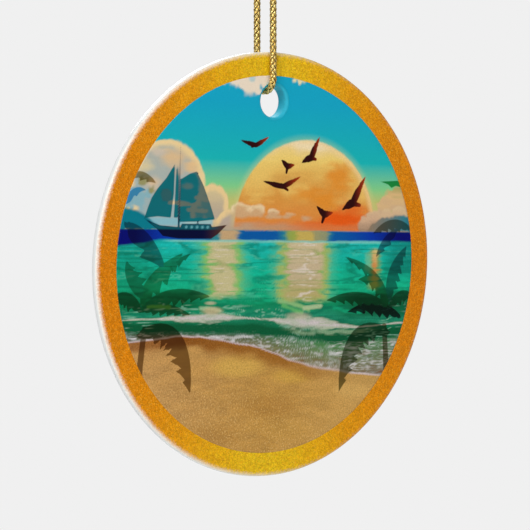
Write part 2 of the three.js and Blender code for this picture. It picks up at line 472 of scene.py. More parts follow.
@dataclass
class Studio:
    """Camera, pale floor and soft light."""

    azimuth: float = -38.53       # degrees round from the front
    elevation: float = 2.97       # degrees up
    distance: float = 496.4       # mm
    lens: float = 194.46          # mm on a 36 mm sensor
    aside: float = 0.876          # mm, the face's centre lies this far right of the axis
    above: float = 0.057          # mm, and this far above it
    floor_drop: float = 400.0     # mm below the hook
    floor_radius: float = 1200.0  # mm

    def camera(self, face_centre: np.ndarray) -> None:
        """Aim the camera.

        Args:
            face_centre: the printed face's centre, mm.
        """
        a, e = math.radians(self.azimuth), math.radians(self.elevation)
        right = np.array([math.cos(a), math.sin(a), 0.0])
        back = np.array([math.sin(a) * math.cos(e), -math.cos(a) * math.cos(e), math.sin(e)])
        up = np.cross(back, right)
        eye = face_centre - self.aside * right - self.above * up + self.distance * back
        data = bpy.data.cameras.new("camera")
        data.lens, data.sensor_width, data.clip_start = self.lens, 36.0, 0.01
        camera = bpy.data.objects.new("camera", data)
        camera.matrix_world = Matrix.Translation(Vector(eye * MM)) @ Matrix(np.stack([right, up, back],
                                                                                     -1)).to_4x4()
        bpy.context.scene.collection.objects.link(camera)
        bpy.context.scene.camera = camera

    def lamp(self, name: str, azimuth: float, elevation: float, away: float, size: float, power: float,
             target: np.ndarray) -> None:
        """Hang one square soft light.

        Args:
            name: its name.
            azimuth: degrees round from the front.
            elevation: degrees up.
            away: distance from the target, mm.
            size: its side, mm.
            power: watts.
            target: what it points at, mm.
        """
        a, e = math.radians(azimuth), math.radians(elevation)
        back = Vector((math.sin(a) * math.cos(e), -math.cos(a) * math.cos(e), math.sin(e)))
        data = bpy.data.lights.new(name, "AREA")
        data.energy, data.size = power, size * MM
        lamp = bpy.data.objects.new(name, data)
        lamp.matrix_world = (Matrix.Translation(Vector(target * MM) + back * away * MM)
                             @ back.to_track_quat("Z", "Y").to_matrix().to_4x4())
        bpy.context.scene.collection.objects.link(lamp)

    def surroundings(self, seen: float, ambient: float) -> None:
        """Pale backdrop to look at, and a dimmer even light from all round.

        Args:
            seen: the backdrop's brightness.
            ambient: the light's brightness.
        """
        world = bpy.data.worlds.new("backdrop")
        world.use_nodes = True
        tree = world.node_tree
        tree.nodes.clear()
        path = add_node(tree, "ShaderNodeLightPath")
        light = add_node(tree, "ShaderNodeBackground", {"Color": (1, 1, 1, 1), "Strength": ambient})
        drop = add_node(tree, "ShaderNodeBackground", {"Color": (1, 1, 1, 1), "Strength": seen})
        both = add_node(tree, "ShaderNodeMixShader", {0: path.outputs["Is Camera Ray"], 1: light.outputs[0],
                                                      2: drop.outputs[0]})
        add_node(tree, "ShaderNodeOutputWorld", {"Surface": both.outputs[0]})
        bpy.context.scene.world = world

    def floor(self) -> None:
        """A round pale floor well below the ornament: rings of points, radius by ring and angle by column."""
        rings, sectors = 12, 96
        radius, angle = np.meshgrid(np.linspace(1.0, self.floor_radius, rings),
                                    np.linspace(0, TAU, sectors, endpoint=False), indexing="ij")
        points = np.stack([radius * np.cos(angle), radius * np.sin(angle),
                           np.full_like(radius, -self.floor_drop)], -1)
        faces = grid_faces(rings, sectors, close_columns=True).tolist() + [list(range(sectors))]
        make_piece("floor", points.reshape(-1, 3), faces, material=StudioPaper().material())

    def build(self, face_centre: np.ndarray) -> None:
        """Set the camera, the lights, the backdrop and the floor.

        Args:
            face_centre: the printed face's centre, mm.
        """
        self.camera(face_centre)
        self.surroundings(seen=0.8714, ambient=0.22)
        self.lamp("key", -52.0, 34.0, 900.0, 500.0, 6.9, face_centre)
        self.lamp("fill", -8.0, 12.0, 1200.0, 900.0, 3.7, face_centre)
        self.lamp("rim", 160.0, 38.0, 1000.0, 700.0, 8.5, face_centre)
        self.floor()
        scene = bpy.context.scene
        scene.view_settings.view_transform = "Standard"
        scene.view_settings.look = "None"


# ---------------------------------------------------------------- cord

def resample(points: np.ndarray, spacing: float) -> np.ndarray:
    """Evenly spaced points on a bent line, by its running length.

    Args:
        points: the line's corners, mm.
        spacing: wanted distance between points, mm.

    Returns:
        The new points, with the same two ends.
    """
    run = np.concatenate([[0.0], np.cumsum(np.linalg.norm(np.diff(points, axis=0), axis=1))])
    places = np.linspace(0.0, run[-1], max(2, int(round(run[-1] / spacing)) + 1))
    return np.stack([np.interp(places, run, points[:, i]) for i in range(3)], -1)


def soften(points: np.ndarray, reach: float, spacing: float = 0.1) -> np.ndarray:
    """Round a bent line's corners, by a weighted mean along it; the line is run straight on past its ends.

    Args:
        points: the line's corners, mm.
        reach: how far the mean reaches each way, mm.
        spacing: distance between the new points, mm.

    Returns:
        The rounded line's points.
    """
    line = resample(points, spacing)
    half = max(1, int(round(reach / spacing)))
    weight = np.cos(np.linspace(-math.pi / 2, math.pi / 2, 2 * half + 1)) ** 2
    steps = np.arange(half, 0, -1)[:, None]
    padded = np.vstack([line[0] - steps * (line[1] - line[0]), line,
                        line[-1] + steps[::-1] * (line[-1] - line[-2])])
    smooth = [np.convolve(padded[:, i], weight / weight.sum(), mode="valid") for i in range(3)]
    return resample(np.stack(smooth, -1), spacing)


@dataclass
class BraidedCord:
    """Round braid of eight yarns over a core: four wind each way, over one and under one."""

    diameter: float = 1.26        # mm over the yarns; 1.1 mm nominal
    pitch: float = 1.09           # mm from one crossing pair to the next
    yarn_width: float = 0.52      # mm
    yarn_thickness: float = 0.20  # mm
    lift: float = 0.11            # mm that a yarn rises and sinks at its crossings
    sides: int = 8
    steps: int = 8                # rings per pitch

    def frames(self, path: np.ndarray) -> tuple[np.ndarray, np.ndarray, np.ndarray]:
        """Untwisted frame along the line: each side vector is the last one made square to the new direction.

        Args:
            path: evenly spaced points, mm.

        Returns:
            Directions, side vectors and the third axes, one row each per point.
        """
        along = np.gradient(path, axis=0)
        along /= np.linalg.norm(along, axis=1, keepdims=True)
        side = np.empty_like(along)
        side[0] = (1.0, 0.0, 0.0)
        for i in range(1, len(path)):
            turned = side[i - 1] - along[i] * (side[i - 1] @ along[i])
            side[i] = turned / np.linalg.norm(turned)
        return along, side, np.cross(along, side)

    def yarns(self, path: np.ndarray, flare: float = 0.0) -> tuple[np.ndarray, list, dict[str, np.ndarray]]:
        """Surface of the yarns and the core along a line.

        A yarn's angle grows evenly along the cord, one turn in four pitches, and its distance from the middle
        is a mean plus a cosine that has one wave per pitch, with the sign of its winding. Its section is an
        ellipse with the thin way pointing out of the cord.

        Args:
            path: the line, mm.
            flare: how much wider the braid opens at its far, cut end, as a share.

        Returns:
            Points, faces and the attributes lay (place round and along a yarn) and depth (share of the
            radius), by which the yarn's material paints shade deep in the braid.
        """
        length = np.linalg.norm(np.diff(path, axis=0), axis=1).sum()
        pitches = max(1, round(length / self.pitch))
        line = resample(path, length / (pitches * self.steps))
        _, side, third = self.frames(line)
        count = len(line)
        turn = np.linspace(0.0, pitches, count)
        hand = np.repeat([1.0, -1.0], 4)[:, None]
        angle = np.tile(np.arange(4), 2)[:, None] * TAU / 4 + hand * turn * TAU / 4
        outer = self.diameter / 2
        middle = outer - self.yarn_thickness / 2 - self.lift
        open_end = 1.0 + flare * fade(turn, pitches - 1.3, pitches)
        radius = (middle + hand * self.lift * np.cos(turn * TAU)) * open_end
        out = np.cos(angle)[..., None] * side + np.sin(angle)[..., None] * third
        centre = line + radius[..., None] * out
        run = np.gradient(centre, axis=1)
        run /= np.linalg.norm(run, axis=2, keepdims=True)
        wide = np.cross(run, out)
        wide /= np.linalg.norm(wide, axis=2, keepdims=True)
        around = np.arange(self.sides) * TAU / self.sides
        section = (self.yarn_thickness / 2 * np.cos(around)[:, None] * out[..., None, :]
                   + self.yarn_width / 2 * np.sin(around)[:, None] * wide[..., None, :])
        points = centre[..., None, :] + section
        core_out = np.cos(around)[:, None] * side[:, None, :] + np.sin(around)[:, None] * third[:, None, :]
        core = line[:, None, :] + (middle - 0.02) * core_out
        tubes = np.concatenate([points, core[None]])
        flat = tubes.reshape(-1, 3)
        one = grid_faces(count, self.sides, close_columns=True)[:, ::-1]
        size = count * self.sides
        shift = (np.arange(len(tubes)) * size)[:, None, None]
        faces = (one[None] + shift).reshape(-1, 4)
        first, last = np.arange(self.sides), np.arange(self.sides) + size - self.sides
        caps = [(ring + k * size).tolist() for k in range(len(tubes)) for ring in (first, last[::-1])]
        distance = np.linalg.norm(tubes - line[None, :, None, :], axis=3) / (outer * open_end[None, :, None])
        # painted shade: the core counts as deep, so it is drawn in the dark gap colour, a little less at its
        # last ring
        distance[-1] = 0.4
        distance[-1, -1] = 0.85
        place = np.empty(tubes.shape)
        place[..., 0], place[..., 1] = np.cos(around), np.sin(around)
        place[..., 2] = (np.arange(len(tubes))[:, None] * 7.0 + np.linspace(0, length, count))[..., None]
        return flat, faces.tolist() + caps, {"lay": place.reshape(-1, 3), "depth": distance.ravel()}


@dataclass
class HangingCord:
    """The gold cord: one length through the disc's hole, both ends tied together above the hook."""

    braid: BraidedCord
    spacing: float = 4.47         # mm between the two strands
    split: float = 34.15          # mm below the hook, where the lower loop begins
    bight_centre: float = -57.55  # mm, centre of the bend through the hole
    knot_low: float = 3.4         # mm, where the windings end and the cord turns up
    knot_high: float = 6.8        # mm, where they begin
    core_radius: float = 0.76     # mm from the knot's axis to the four cords inside it
    wrap_radius: float = 1.72     # mm to the windings
    tail: float = 6.0             # mm of cut end above the knot
    nominal: float = 1.1          # mm, the diameter that the cord is sold by
    hole_mouth: tuple[float, float, float] = (0.0, -1.3, -60.0)  # mm, where the cord leaves the disc
    loop_length: float = 53.9     # mm of cord from strand to strand through the hole
    end_length: float = 68.0      # mm of cord in each strand with its knot windings and cut end
    twist: tuple[float, float] = (-35.5, -52.0)    # mm, the span where the real cord's strands wind round each other
    hook_bend: tuple[float, float] = (2.5, -4.0)   # mm, the span where the real strands bend as the ornament swings

    def lower_loop(self) -> np.ndarray:
        """Line of the lower loop: straight down, half a circle through the hole, straight up.

        Returns:
            The line's points, mm.
        """
        half, low = self.spacing / 2, self.bight_centre
        bend = np.linspace(math.pi, TAU, 33)
        arc = np.stack([0 * bend, half * np.cos(bend), low + half * np.sin(bend)], -1)
        return np.vstack([[(0, -half, -self.split)], arc, [(0, half, -self.split)]])

    def upper_strand(self, sign: int) -> np.ndarray:
        """Line of one strand from the lower loop to its cut end.

        It closes in to the hook, passes up through the knot, winds down round it one and a half turns, turns
        in under it and goes up through it again beside the other strand.

        Args:
            sign: -1 for the front strand and 1 for the rear one.

        Returns:
            The line's points, mm.
        """
        half = self.spacing / 2
        rise = [(half, -self.split), (half, -26), (half, -18), (half, -11), (half, -6), (2.12, -3),
                (1.9, -1.4),
                (1.55, 0), (1.12, 1.1), (0.8, 2.0)]
        strand = np.array([(0.0, sign * y, z) for y, z in rise])
        start = math.pi / 2 * sign
        level = self.knot_high
        fall = self.knot_high - self.knot_low
        in_core = np.array([(self.core_radius * math.cos(start), self.core_radius * math.sin(start), z)
                            for z in (3.0, 4.2, level - 1.2)])
        turns, turn_out, turn_in = 3 * math.pi, 1.1, 1.5
        angle = np.linspace(0.0, turns, 60)
        reach = self.core_radius + (self.wrap_radius - self.core_radius) * (
            fade(angle, 0, turn_out) * (1 - fade(angle, turns - turn_in, turns)))
        arch = 0.75 * np.sin(math.pi * np.clip(angle / turn_out, 0, 1))
        wrap = np.stack([reach * np.cos(start + angle), reach * np.sin(start + angle),
                         level - fall * angle / turns + arch], -1)
        end = start + turns
        foot = np.array([math.cos(end), math.sin(end)]) * self.core_radius
        side = np.array([math.cos(end + math.pi / 2), math.sin(end + math.pi / 2)]) * 0.8
        top = 7.9
        leave = np.array([(*(foot + side), level - fall + 0.75), (*(foot + side), 5.2), (*(foot * 0.9), 6.6),
                          (*foot, top), (foot[0] * 1.1 + 0.3 * sign, foot[1] * 1.4, top + 2.0),
                          (foot[0] + 0.7 * sign, foot[1] * 1.9, top + 4.0),
                          (foot[0] + 1.1 * sign, foot[1] * 2.5, top + self.tail)])
        return soften(np.vstack([strand, in_core, wrap, leave]), 0.8)

    def build(self, material: bpy.types.Material) -> None:
        """Args:
            material: the yarn's finish.
        """
        path = self.lower_loop()
        loop = make_piece("cord_through_hole", *self.braid.yarns(path), material=material, slot="gold_cord")
        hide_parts("cord_lower_loop")
        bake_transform(loop)
        for name, sign, stands in (("cord_front_end", -1,
                                    ("cord_front_strand", "cord_front_tail", "cord_knot")),
                                   ("cord_rear_end", 1, ("cord_rear_strand", "cord_rear_tail"))):
            path = self.upper_strand(sign)
            piece = make_piece(name, *self.braid.yarns(path, flare=0.35), material=material, slot="gold_cord")
            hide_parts(*stands)
            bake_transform(piece)
            REPORT.info("%s: %.1f mm long", name, np.linalg.norm(np.diff(path, axis=0), axis=1).sum())


# ---------------------------------------------------------------- disc

class Side(Enum):
    """Which printed face: its value is the sign of y that it looks along."""

    FRONT = -1
    BACK = 1


@dataclass
class DiscPlan:
    """Sizes of the porcelain disc, mm, and where it hangs."""

    centre: np.ndarray
    radius: float = 36.8
    thickness: float = 2.6
    front_round: float = 0.5
    back_bevel: float = 1.5
    hole_radius: float = 2.8
    hole_round: float = 0.5
    hole_offset: float = 28.3
    tilt: float = math.radians(1.94)
    picture_radius: float = 32.7
    front_border: float = 36.3
    back_border: float = 35.3
    coat: float = 0.08

    def place(self, x: np.ndarray, z: np.ndarray, y: np.ndarray, side: Side = Side.FRONT) -> np.ndarray:
        """Turn print axes into the row frame: mirrored on the back, leant by the tilt, moved to the centre.

        Args:
            x: to the right as that face is seen, mm.
            z: up, mm.
            y: depth in the row frame, mm.
            side: which face.

        Returns:
            Points in the row frame, mm.
        """
        across = -side.value * x
        cos, sin = math.cos(self.tilt), math.sin(self.tilt)
        x, z, y = np.broadcast_arrays(across * cos + z * sin, -across * sin + z * cos, y)
        return np.stack([x, y, z], -1) + self.centre


@dataclass
class PorcelainBlank:
    """The pressed blank: a round plate with a rounded front edge, a bevelled back edge and one hole."""

    plan: DiscPlan
    around: int = 256

    def profile(self) -> np.ndarray:
        """Stations round the section: share from the hole's circle to the outer one, that circle's radius, y.

        Returns:
            One row per station, from the hole's front round over the face, edge and back to the hole's wall.
        """
        p = self.plan
        face, arc = p.thickness / 2, np.linspace(0.0, math.pi / 2, 6)
        inner = p.hole_radius + p.hole_round
        hole_front = [(0.0, inner - p.hole_round * math.sin(t), -face + p.hole_round * (1 - math.cos(t)))
                      for t in arc[::-1]]
        front = [(w, inner + (p.radius - p.front_round - inner) * w, -face) for w in
                 (0.01, 0.1, 0.3, 0.6, 0.9, 0.99)]
        rim = [(1.0, p.radius - p.front_round * (1 - math.sin(t)), -face + p.front_round * (1 - math.cos(t)))
               for t in arc]
        land = face - p.back_bevel
        edge = [(1.0, p.radius, land - 0.3), (1.0, p.radius, land - 0.06),
                (1.0, p.radius - 0.02, land + 0.02),
                (1.0, p.radius - 0.09, land + 0.09), (1.0, p.radius - 0.75, land + 0.75),
                (1.0, p.radius - p.back_bevel + 0.1, face - 0.1),
                (1.0, p.radius - p.back_bevel + 0.02, face - 0.03),
                (1.0, p.radius - p.back_bevel - 0.12, face)]
        back = [(w, inner + (p.radius - p.back_bevel - inner) * w, face)
                for w in (0.97, 0.9, 0.6, 0.3, 0.1, 0.01)]
        hole_back = [(0.0, inner - p.hole_round * math.sin(t), face - p.hole_round * (1 - math.cos(t)))
                     for t in arc]
        wall = [(0.0, p.hole_radius, y) for y in (0.4, 0.0, -0.4)]
        return np.array(hole_front + front + rim + edge + back + hole_back + wall)

    def surface(self) -> tuple[np.ndarray, np.ndarray]:
        """Carry the section round: each station is a circle between the hole's circle and the outer one.

        Returns:
            Points in the row frame and faces.
        """
        share, radius, y = self.profile().T
        angle = np.linspace(0.0, TAU, self.around, endpoint=False)[:, None]
        inner = self.plan.hole_radius + self.plan.hole_round
        in_radius = np.where(share == 0, radius, inner)
        out_radius = np.where(share == 1, radius, np.where(y < 0, self.plan.radius - self.plan.front_round,
                                                           self.plan.radius - self.plan.back_bevel))
        ring = in_radius * (1 - share) + out_radius * share
        x = ring * np.sin(angle)
        z = self.plan.hole_offset * (1 - share) + ring * np.cos(angle)
        points = self.plan.place(x, z, y).reshape(-1, 3)
        faces = grid_faces(self.around, len(share), close_rows=True, close_columns=True)
        return points, faces if enclosed(points - self.plan.centre, faces) > 0 else faces[:, ::-1]

    def build(self, material: bpy.types.Material) -> None:
        """Make the blank in place of its CAD solid.

        Args:
            material: the glazed porcelain.
        """
        blank = make_piece("porcelain_blank", *self.surface(), material=material, slot="porcelain")
        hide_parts("porcelain_disc")
        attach(blank, "disc")


# ---------------------------------------------------------------- picture

Point = tuple[float, float]


def bow(start: Point, middle: Point, end: Point, count: int = 14) -> np.ndarray:
    """A curve through its two ends, pulled towards the middle point (a quadratic Bezier line)."""
    t = np.linspace(0.0, 1.0, count)[:, None]
    return (1 - t) ** 2 * np.array(start) + 2 * t * (1 - t) * np.array(middle) + t ** 2 * np.array(end)


def nearest(x: np.ndarray, z: np.ndarray, line: np.ndarray) -> tuple[np.ndarray, np.ndarray]:
    """How points lie by a bent line.

    Args:
        x: places across, mm.
        z: places up, mm.
        line: its corners, mm.

    Returns:
        The share of its length at the nearest place, and the distance from it, positive on its left.
    """
    start, step = line[:-1], np.diff(line, axis=0)
    size = np.maximum((step ** 2).sum(1), 1e-12)
    dx, dz = x[:, None] - start[:, 0], z[:, None] - start[:, 1]
    t = np.clip((dx * step[:, 0] + dz * step[:, 1]) / size, 0.0, 1.0)
    gap = np.hypot(dx - t * step[:, 0], dz - t * step[:, 1])
    best = gap.argmin(1)
    rows = np.arange(len(x))
    length = np.sqrt(size)
    run = np.concatenate([[0.0], np.cumsum(length)[:-1]])
    share = (run[best] + t[rows, best] * length[best]) / length.sum()
    left = np.sign(step[best, 0] * dz[rows, best] - step[best, 1] * dx[rows, best])
    return share, left * gap[rows, best]


def panel(x: np.ndarray, z: np.ndarray, corners: Sequence[Point]) -> np.ndarray:
    """Signed distance to a closed outline, positive inside.

    Args:
        x: places across, mm.
        z: places up, mm.
        corners: the outline's corners.

    Returns:
        Millimetres inside the outline, by the nearest edge and the count of edges crossed.
    """
    line = np.array([*corners, corners[0]], float)
    gap = np.abs(nearest(x, z, line)[1])
    a, b = line[:-1], line[1:]
    level = z[:, None]
    crosses = (a[:, 1] > level) != (b[:, 1] > level)
    rise = np.where(b[:, 1] == a[:, 1], 1e-9, b[:, 1] - a[:, 1])
    at = a[:, 0] + (level - a[:, 1]) * (b[:, 0] - a[:, 0]) / rise
    inside = (crosses & (x[:, None] < at)).sum(1) % 2 == 1
    return np.where(inside, gap, -gap)


def puffs(x: np.ndarray, z: np.ndarray, rounds: Sequence[tuple[float, float, float]]) -> np.ndarray:
    """Millimetres inside a heap of circles (across, up, radius), positive inside."""
    return np.max([r - np.hypot(x - cx, z - cz) for cx, cz, r in rounds], axis=0)


@dataclass(frozen=True)
class Gull:
    """A flying gull: two bowed wings, a body and a tail, all tapered strokes."""

    left: Point
    right: Point
    body: Point
    tail: Point
    lift: float = 0.9         # mm that the wings bow upwards
    width: float = 0.5        # mm, half the wing's width at the shoulder

    def inside(self, x: np.ndarray, z: np.ndarray) -> np.ndarray:
        """How far points lie inside the gull: each wing is a stroke that narrows to its tip in steps.

        Args:
            x: places across, mm.
            z: places up, mm.

        Returns:
            Millimetres inside, the largest over the wings and the body.
        """
        best = np.full_like(x, -99.0)
        for tip in (self.left, self.right):
            elbow = (self.body[0] * 0.55 + tip[0] * 0.45, self.body[1] * 0.55 + tip[1] * 0.45 + self.lift)
            share, off = nearest(x, z, bow(self.body, elbow, tip))
            feathers = 1 - 0.45 * fade(share, 0.4, 0.6) * ((share * 14) % 1.0)
            half = 1.5 * self.width * (1 - share ** 2.2) * (0.8 + 0.4 * share) * feathers + 0.05
            best = np.maximum(best, half - np.abs(off))
        throat = (self.body[0] * 1.35 - self.tail[0] * 0.35, self.body[1] * 1.35 - self.tail[1] * 0.35)
        share, off = nearest(x, z, np.array([throat, self.body, self.tail]))
        return np.maximum(best, self.width * (1.15 - 0.5 * share) - np.abs(off))


@dataclass(frozen=True)
class Frond:
    """One palm leaf: a bowed spine with leaflets hanging in teeth on one side."""

    base: Point
    middle: Point
    tip: Point
    width: float              # mm of the hanging side
    teeth: float = 9.0
    hang: int = -1            # which side of the spine the leaflets hang: 1 left, -1 right
    shade: str = "#A8A080"    # what is under the leaf is darkened by this colour

    def inside(self, x: np.ndarray, z: np.ndarray) -> np.ndarray:
        """How far points lie inside the leaf: its hanging side's width is a swelling times a sawtooth.

        Args:
            x: places across, mm.
            z: places up, mm.

        Returns:
            Millimetres inside, positive inside.
        """
        share, off = nearest(x, z, bow(self.base, self.middle, self.tip))
        leaf = np.sin(math.pi * np.clip(share, 0.02, 1.0) ** 0.75) ** 0.7
        comb = 0.5 + 0.5 * (1 - (share * self.teeth) % 1.0)
        hanging = self.width * leaf * comb
        plain = 0.22 * self.width * leaf + 0.12 * (1 - share)
        across = off * self.hang
        return np.where(across > 0, hanging - across, plain + across)


@dataclass
class SeasidePicture:
    """A seaside sunset: sky, sun, clouds, a sailing ship, gulls, sea, surf, sand and two palms.

    It is plain shapes and soft ovals. Each area has a few tones, which noise and ripples vary.
    """

    x: np.ndarray
    z: np.ndarray
    horizon: float = 5.9

    def __post_init__(self) -> None:
        """Start from plain sky, with nothing inked."""
        self.paint = ramp(self.z, [6, 11, 13.5, 18, 28], "#C8B078 #B4B468 #78C080 #14A8A8 #109AB8")
        self.ink = np.zeros_like(self.paint)
        self.edge = np.full_like(self.x, -99.0)
        self.grain = np.full_like(self.x, 0.035)
        self.glint = np.zeros_like(self.x)

    def lay(self, code: str | np.ndarray, cover: np.ndarray) -> None:
        """Paint a colour, or one colour per point, with this much cover."""
        colour = linear(code) if isinstance(code, str) else code
        self.paint = self.paint + (colour - self.paint) * np.clip(cover, 0, 1)[:, None]

    def stamp(self, colour: np.ndarray, inside: np.ndarray) -> None:
        """Ink a crisp silhouette over what is there.

        Args:
            colour: its linear colour, one for all points or one for each.
            inside: millimetres inside the silhouette, positive inside.
        """
        nearer = inside > self.edge
        self.ink = np.where(nearer[:, None], colour, self.ink)
        self.edge = np.maximum(self.edge, inside)

    def patch(self, code: str, cx: float, cz: float, rx: float, rz: float, cover: float = 1.0) -> None:
        """Paint a soft oval: full in the middle, nothing at its outline."""
        share = np.hypot((self.x - cx) / rx, (self.z - cz) / rz)
        self.lay(code, cover * (1 - fade(share, 0.35, 1.0)))

    def noise(self, length: float, height: float, seed: int) -> np.ndarray:
        """Patches on the picture, -1 to 1."""
        return 2 * mottle(self.x, self.z, length, height, seed) - 1

    def clouds_and_sun(self) -> None:
        """Paint the high clouds, the left cumulus, the low sun and the clouds along the horizon."""
        x, z = self.x, self.z
        above = fade(z, self.horizon - 0.15, self.horizon + 0.15)
        rough = 0.45 * self.noise(1.1, 0.9, 1) + 0.25 * self.noise(0.5, 0.5, 2)
        streaks = self.noise(2.6, 0.55, 3)
        high = puffs(x, z, [(-8.5, 32.6, 2.4), (-6, 31.6, 2.2), (-4.4, 31.1, 2.0), (-2.4, 32.1, 2.0),
                            (-10.5, 33, 2)])
        self.lay("#DDCDB8", fade(high + rough, -0.2, 0.7))
        self.patch("#8FB8BE", -5.0, 32.0, 1.0, 0.8, 0.7)
        self.patch("#9CBCBC", -1.4, 31.2, 0.8, 0.6, 0.7)
        self.lay("#DBCF9F", fade(puffs(x, z, [(4.4, 32.2, 0.9), (5.6, 32.3, 1.0), (6.6, 32.2, 0.8)]) + rough,
                                 -0.2, 0.5))
        # left cumulus: a smooth dome with a bright rim over a grey-lilac hollow, and two lower humps
        soft = 0.3 * rough
        dome = puffs(x, z, [(-22.8, 12.7, 8.4), (-27.6, 15.6, 3.2)]) + soft
        self.lay("#DCC28E", fade(dome, -0.15, 0.2) * above)
        self.lay(ramp(z + 0.6 * streaks, [10, 19], "#8CA4A8 #A0A49C"),
                 fade(dome + 0.4 * streaks, 0.7, 2.0) * above * 0.92)
        ragged = 0.3 * rough + 0.15 * streaks
        for cx, cz, rx, rz, code in ((-21.3, 18.0, 3.0, 1.8, "#D4B080"), (-17.6, 16.6, 1.7, 1.5, "#D9B27E"),
                                     (-25.6, 13.8, 2.2, 1.4, "#D3B48E"), (-28.0, 16.6, 2.4, 1.6, "#D6C290"),
                                     (-18.4, 13.2, 1.6, 1.0, "#CDB090"), (-24.8, 18.9, 1.8, 0.8, "#C4B4A0"),
                                     (-20.2, 15.6, 1.6, 0.8, "#BCA890")):
            inside = 1 - fade(np.hypot((x - cx) / rx, (z - cz) / rz) + ragged, 0.2, 1.25)
            self.lay(code, inside * 0.85)
        for heap in ([(-12.9, 10.2, 3.5), (-15.6, 8.8, 2.0)], [(-8.6, 5.9, 3.7), (-5.4, 5.4, 2.2)]):
            low = puffs(x, z, heap) + soft
            self.lay(ramp(z + 0.6 * streaks, [6, 9, 13], "#A89890 #B0A088 #C8B488"),
                     fade(low, -0.15, 0.2) * above)
            lit = fade(low, -0.15, 0.1) * (1 - fade(low + 0.3 * rough, 0.5, 1.3))
            self.lay("#DDBF88", lit * above * 0.95)
        for start, end in (
                ((-18, 9.3), (-14.2, 9.1)), ((-22, 10.5), (-16.5, 10.1)), ((-16.5, 11.4), (-14, 11.1))):
            off = np.abs(nearest(x, z, np.array([start, end]))[1])
            self.lay("#DDB988", (1 - fade(off + 0.3 * rough, 0.15, 0.55)) * 0.9)
        self.lay("#7FA6AE", fade(puffs(x, z, [(-28.4, 11.0, 1.8), (-30.5, 11.2, 2.0), (-26.6, 11.6, 1.1)])
                                 + rough, 0, .5))
        self.lay("#8E8A5C", fade(puffs(x, z, [(-27.6, 14.2, 1.0), (-25.6, 12.4, 0.9), (-22.6, 11.7, 1.4)])
                                 + rough, 0, .5))
        mound = panel(x, z, [(-34, 9.0), (-31, 9.5), (-28.5, 8.9), (-26.5, 8.0), (-24.2, 6.6), (-23.6, 5.8),
                             (-34, 5.8)])
        self.lay("#04707F", fade(mound + 0.4 * rough, -0.2, 0.3))
        # sun
        far = np.hypot(x - 7.7, z - self.horizon)
        self.lay(ramp(z, [6, 12, 20], "#C8A870 #BCC078 #78BC98"), (1 - fade(far, 15.6, 17.3)) * 0.7 * above)
        sun = fade(15.85 + 0.12 * rough - far, -0.18, 0.18) * above
        straw, cream, amber, umber, ember = "#E0C068", "#E4D0A8", "#D48428", "#C49044", "#D85410"
        self.lay(ramp(z + 0.35 * streaks - 0.03 * (x - 7.7), [6, 8, 12, 16, 18.5, 21.6],
                      "#CC7040 #D08038 #CC8C3C #D4A450 #E0C068 #DCC8A8"), sun)
        blotch = self.noise(3.6, 2.2, 41)
        self.lay(straw, sun * fade(blotch, 0.1, 0.8) * fade(z, 9, 13) * 0.5)
        spots = ((-3.0, 15.0, 5.0, 5.0, straw, .5), (3.0, 19.4, 4.0, 1.8, straw, .7),
                 (3.4, 14.8, 4.6, 1.6, umber, .7), (12.6, 18.2, 2.8, 1.5, straw, .85),
                 (8.6, 20.8, 4.6, 1.3, cream, .9), (15.0, 15.4, 4.0, 3.0, amber, .9),
                 (8.4, 12.4, 5.2, 1.8, amber, .8), (12.6, 11.0, 3.8, 2.0, amber, .9),
                 (20.2, 13.2, 1.8, 3.6, straw, .45), (18.4, 9.6, 3.8, 2.6, ember, .7),
                 (15.6, 7.8, 6.4, 1.8, ember, 1.0), (9.0, 7.1, 4.5, 0.9, ember, .5))
        ragged = 0.22 * rough + 0.2 * streaks + 0.15 * blotch
        for cx, cz, rx, rz, code, cover in spots:
            inside = 1 - fade(np.hypot((x - cx) / rx, (z - cz) / rz) + ragged, 0.25, 1.15)
            self.lay(code, inside * cover * sun)
        self.lay("#E2C48C", sun * fade(far, 14.4, 15.9) * fade(x + 0.6 * z, 14, 26) * 0.75)
        # cream cloud bank at the sun's foot, and the band along the horizon
        bank = puffs(0.5 * x, z, [(-3.4, 9.3, 1.3), (-1.6, 9.3, 1.0), (0.2, 8.8, 0.9), (2.0, 8.5, 0.7),
                                  (3.8, 8.2, 0.5)])
        bank = bank + 0.5 * rough + 0.35 * streaks
        self.lay(ramp(z + 0.7 * streaks, [6, 8, 11], "#B08C68 #BC9C78 #C8A87C"),
                 fade(bank, -0.15, 0.5) * above * fade(12.5 - x, 0, 4) * 0.8)
        self.lay(cream, fade(bank, -0.1, 0.25) * (1 - fade(bank, 0.25, 0.8)) * fade(z, 8.6, 9.6)
                 * fade(11 - x, 0, 2) * 0.65)
        foot = above * (1 - fade(z + 0.4 * streaks, 6.4, 7.6))
        self.lay(ramp(x + 2 * streaks, [-14, 0, 12, 22], "#A8A08A #B48C68 #D07038 #C87040"),
                 foot * fade(x, -20, -15) * 0.85)
        # right clouds
        tower = puffs(x, z, [(27.6, 11.6, 2.3), (28.8, 12.2, 2.1), (26.0, 10.0, 1.9),
                             (30.0, 11.0, 2.2)]) + rough
        self.lay(ramp(z + streaks, [9, 12, 14], "#C0A080 #D0AC78 #A89C60"), fade(tower, -0.2, 0.5) * above)
        near = puffs(x, z, [(21.6, 6.6, 2.0), (23.8, 7.6, 2.3), (26.6, 7.8, 2.3), (29.4, 8.2, 2.4)]) + rough
        self.lay(ramp(z + 0.5 * streaks, [6, 8, 10], "#9C8068 #C4A080 #CCB088"), fade(near, -.2, .5) * above)
        mound = panel(x, z, [(21.6, 5.8), (23.2, 7.4), (25.2, 8.3), (27.4, 8.7), (29.6, 9.0), (32.5, 8.6),
                             (32.5, 5.8)])
        self.lay(ramp(x, [22, 31], "#867058 #2C7480"), fade(mound + 0.5 * rough, -.2, .3) * above)
        self.grain = np.where(z > self.horizon, 0.035 + 0.05 * sun, self.grain)

